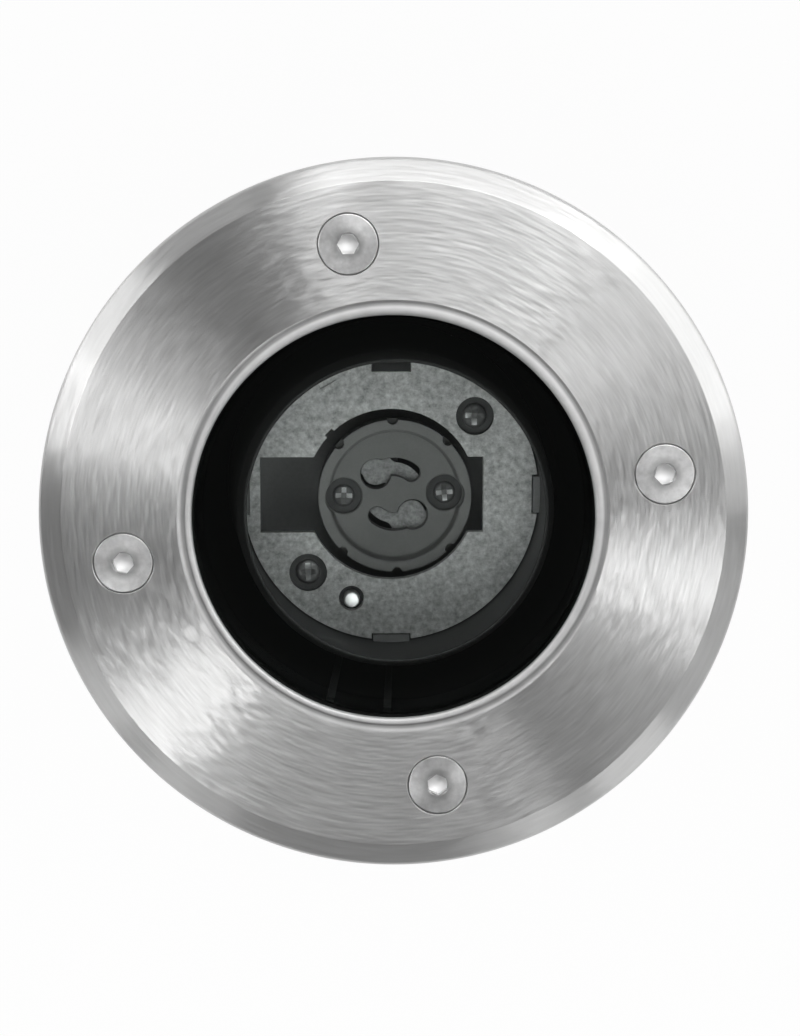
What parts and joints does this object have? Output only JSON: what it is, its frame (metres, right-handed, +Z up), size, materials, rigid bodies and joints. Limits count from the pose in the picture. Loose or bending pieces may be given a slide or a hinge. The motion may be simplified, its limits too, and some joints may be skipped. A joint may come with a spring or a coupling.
{
  "type": "in-ground light",
  "caption": "Round in-ground light: screwed steel cover with a glass lens, ribbed pot, flared shade tube, twist-lock lampholder, terminal block and cable gland.",
  "frame": {"origin": "centre of the pot's foot, on the ground plane that it stands on", "axes": "+Z up out of the ground through the lens; +Y is the top of the picture"},
  "size_m": [0.11, 0.11, 0.13],
  "materials": {
    "contact_1": "bent spring strip",
    "contact_2": "bent spring strip",
    "cover_ring": "brushed stainless steel",
    "cover_screw_1": "machined stainless steel",
    "cover_screw_2": "machined stainless steel",
    "cover_screw_3": "machined stainless steel",
    "cover_screw_4": "machined stainless steel",
    "gland_body": "moulded black nylon",
    "gland_cap_nut": "moulded black nylon",
    "gland_locknut": "moulded black nylon",
    "gland_seal": "moulded black rubber",
    "gland_washer": "moulded black rubber",
    "holder_nut_1": "machined stainless steel",
    "holder_nut_2": "machined stainless steel",
    "holder_plate": "grey cast, slightly grainy",
    "holder_screw_1": "machined stainless steel",
    "holder_screw_2": "machined stainless steel",
    "housing_pot": "moulded black plastic",
    "insert_base": "moulded black plastic",
    "lampholder_base": "pressed insulating board",
    "lampholder_body": "unglazed grey ceramic",
    "lead_1": "silicone sleeving over braid",
    "lead_2": "silicone sleeving over braid",
    "lens": "clear toughened glass",
    "lens_gasket": "moulded black rubber",
    "plate_pin": "bright",
    "plate_screw_1": "machined stainless steel",
    "plate_screw_2": "machined stainless steel",
    "shade_tube": "moulded black plastic",
    "terminal_barrel_1": "turned brass",
    "terminal_barrel_2": "turned brass",
    "terminal_barrel_3": "turned brass",
    "terminal_block": "white nylon",
    "terminal_screw_1": "machined stainless steel",
    "terminal_screw_2": "machined stainless steel",
    "terminal_screw_3": "machined stainless steel",
    "terminal_screw_4": "machined stainless steel",
    "terminal_screw_5": "machined stainless steel",
    "terminal_screw_6": "machined stainless steel",
    "threaded_insert_1": "turned brass",
    "threaded_insert_2": "turned brass",
    "threaded_insert_3": "turned brass",
    "threaded_insert_4": "turned brass"
  },
  "bodies": {
    "base": {"housing_pot": "housing_pot", "shade_tube": "shade_tube", "holder_plate": "holder_plate", "insert_base": "insert_base", "plate_pin": "plate_pin", "plate_screw_1": "plate_screw_1", "plate_screw_2": "plate_screw_2", "lampholder_body": "lampholder_body", "lampholder_base": "lampholder_base", "holder_screw_1": "holder_screw_1", "holder_screw_2": "holder_screw_2", "holder_nut_1": "holder_nut_1", "holder_nut_2": "holder_nut_2", "contact_1": "contact_1", "contact_2": "contact_2", "lead_1": "lead_1", "lead_2": "lead_2", "terminal_block": "terminal_block", "terminal_barrel_1": "terminal_barrel_1", "terminal_barrel_2": "terminal_barrel_2", "terminal_barrel_3": "terminal_barrel_3", "terminal_screw_1": "terminal_screw_1", "terminal_screw_2": "terminal_screw_2", "terminal_screw_3": "terminal_screw_3", "terminal_screw_4": "terminal_screw_4", "terminal_screw_5": "terminal_screw_5", "terminal_screw_6": "terminal_screw_6", "gland_body": "gland_body", "gland_locknut": "gland_locknut", "gland_washer": "gland_washer", "gland_seal": "gland_seal", "threaded_insert_1": "threaded_insert_1", "threaded_insert_2": "threaded_insert_2", "threaded_insert_3": "threaded_insert_3", "threaded_insert_4": "threaded_insert_4"},
    "cover": {"cover_ring": "cover_ring", "lens": "lens", "lens_gasket": "lens_gasket"},
    "cover_screw_1": {"cover_screw_1": "cover_screw_1"},
    "cover_screw_2": {"cover_screw_2": "cover_screw_2"},
    "cover_screw_3": {"cover_screw_3": "cover_screw_3"},
    "cover_screw_4": {"cover_screw_4": "cover_screw_4"},
    "gland_cap": {"gland_cap_nut": "gland_cap_nut"}
  },
  "joints": [
    {"name": "cover_lift", "type": "slide", "parent": "base", "child": "cover", "axis": [0, 0, 1], "range_m": [0, 0.06]},
    {"name": "cover_screw_1_out", "type": "slide", "parent": "cover", "child": "cover_screw_1", "axis": [0, 0, 1], "range_m": [0, 0.028]},
    {"name": "cover_screw_2_out", "type": "slide", "parent": "cover", "child": "cover_screw_2", "axis": [0, 0, 1], "range_m": [0, 0.028]},
    {"name": "cover_screw_3_out", "type": "slide", "parent": "cover", "child": "cover_screw_3", "axis": [0, 0, 1], "range_m": [0, 0.028]},
    {"name": "cover_screw_4_out", "type": "slide", "parent": "cover", "child": "cover_screw_4", "axis": [0, 0, 1], "range_m": [0, 0.028]},
    {"name": "gland_cap_turn", "type": "hinge", "parent": "base", "child": "gland_cap", "pos_m": [0, 0, 0.0134], "axis": [0, 0, 1], "range_deg": [0, 720]}
  ]
}
